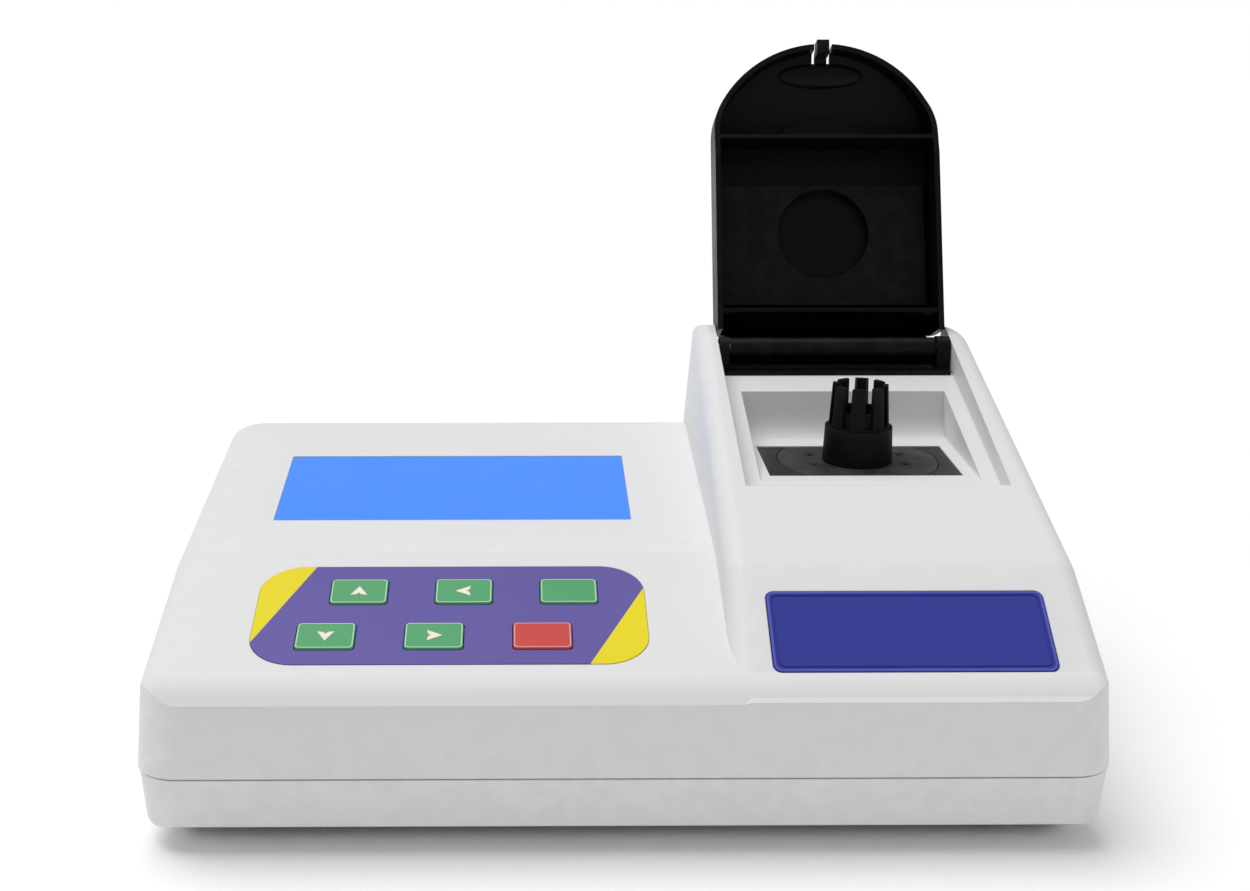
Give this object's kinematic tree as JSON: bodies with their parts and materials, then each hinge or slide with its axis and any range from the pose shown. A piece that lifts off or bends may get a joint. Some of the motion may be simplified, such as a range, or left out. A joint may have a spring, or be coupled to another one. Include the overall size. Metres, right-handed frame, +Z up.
{
  "type": "spectrophotometer",
  "caption": "Benchtop spectrophotometer: sloped white case with display and keypad, raised sample housing with a hinged black lid over a slotted tube adapter.",
  "frame": {"origin": "centre of the bounding box with the lid open, on the table under the rubber feet", "axes": "+X to the user's right along the front, +Y to the rear, +Z up"},
  "size_m": [0.31, 0.2558, 0.2387],
  "materials": {
    "casing": "fine moulded satin texture",
    "rubber": "moulded rubber",
    "steel": "zinc plated",
    "display_blue": "backlit display behind a clear window",
    "glass": "polished",
    "filter_glass": "coated",
    "circuit_board": "solder mask",
    "keypad_purple": "printed membrane",
    "label_blue": "printed polycarbonate",
    "key_green": "embossed membrane key",
    "key_red": "embossed membrane key",
    "black_metal": "black anodised",
    "black_plastic": "moulded",
    "lid_black": "satin moulded plastic",
    "brass": "plated",
    "cream_plastic": "moulded",
    "iron": "laminated and varnished",
    "copper_tape": "wound coil under yellow tape",
    "panel_metal": "satin anodised"
  },
  "bodies": {
    "casing": {"upper_shell": "casing", "lower_shell": "casing", "rubber_feet": "rubber", "case_screws": "steel", "display_window": "display_blue", "display_bezel": "steel", "display_glass": "glass", "display_board": "circuit_board", "display_screws": "steel", "keypad_overlay": "keypad_purple", "key_domes": "steel", "keypad_board": "circuit_board", "front_label": "label_blue", "chamber_plate": "black_metal", "holder_disc": "black_metal", "disc_screws": "black_metal", "holder_sleeve": "black_plastic", "hinge_pin": "steel", "hinge_bracket": "lid_black", "optical_block": "black_metal", "lamp_housing": "black_metal", "lamp": "glass", "condenser_lens": "glass", "wheel_motor": "steel", "photodiode": "steel", "detector_board": "circuit_board", "main_board": "circuit_board", "board_spacers": "brass", "board_screws": "steel", "main_chips": "black_plastic", "board_connectors": "cream_plastic", "keypad_tail": "cream_plastic", "display_ribbon": "cream_plastic", "transformer": "iron", "transformer_coil": "copper_tape", "rear_panel": "panel_metal", "panel_screws": "steel", "power_inlet": "black_plastic", "inlet_pins": "brass", "switch_frame": "black_plastic", "fuse_holder": "black_plastic", "serial_port": "steel", "serial_pins": "brass", "serial_posts": "steel"},
    "lid": {"sample_lid": "lid_black", "lid_inner_panel": "lid_black"},
    "adapter": {"tube_adapter": "black_plastic"},
    "wheel": {"filter_wheel": "black_plastic", "filters": "filter_glass", "wheel_shaft": "steel"},
    "rocker": {"power_rocker": "black_plastic"},
    "key_up": {"key_up": "key_green"},
    "key_left": {"key_left": "key_green"},
    "key_enter": {"key_enter": "key_green"},
    "key_down": {"key_down": "key_green"},
    "key_right": {"key_right": "key_green"},
    "key_stop": {"key_stop": "key_red"}
  },
  "joints": [
    {"name": "lid_hinge", "type": "hinge", "parent": "casing", "child": "lid", "pos_m": [0.09275, 0.06807, 0.1205], "axis": [-1, 0, 0], "range_deg": [-128.5, 0]},
    {"name": "adapter_lift", "type": "slide", "parent": "casing", "child": "adapter", "axis": [0, 0, 1], "range_m": [0, 0.04]},
    {"name": "filter_select", "type": "hinge", "parent": "casing", "child": "wheel", "pos_m": [0.0938, -0.04393, 0.034], "axis": [0, 1, 0], "continuous": true},
    {"name": "power_switch", "type": "hinge", "parent": "casing", "child": "rocker", "pos_m": [-0.068, 0.07707, 0.05], "axis": [1, 0, 0], "range_deg": [-16, 0]},
    {"name": "key_up_press", "type": "slide", "parent": "casing", "child": "key_up", "axis": [0, 0.2401, -0.9707], "range_m": [0, 0.0007], "stiffness_N_per_m": 800, "springref_m": -0.0003},
    {"name": "key_left_press", "type": "slide", "parent": "casing", "child": "key_left", "axis": [0, 0.2401, -0.9707], "range_m": [0, 0.0007], "stiffness_N_per_m": 800, "springref_m": -0.0003},
    {"name": "key_enter_press", "type": "slide", "parent": "casing", "child": "key_enter", "axis": [0, 0.2401, -0.9707], "range_m": [0, 0.0007], "stiffness_N_per_m": 800, "springref_m": -0.0003},
    {"name": "key_down_press", "type": "slide", "parent": "casing", "child": "key_down", "axis": [0, 0.2401, -0.9707], "range_m": [0, 0.0007], "stiffness_N_per_m": 800, "springref_m": -0.0003},
    {"name": "key_right_press", "type": "slide", "parent": "casing", "child": "key_right", "axis": [0, 0.2401, -0.9707], "range_m": [0, 0.0007], "stiffness_N_per_m": 800, "springref_m": -0.0003},
    {"name": "key_stop_press", "type": "slide", "parent": "casing", "child": "key_stop", "axis": [0, 0.2401, -0.9707], "range_m": [0, 0.0007], "stiffness_N_per_m": 800, "springref_m": -0.0003}
  ]
}
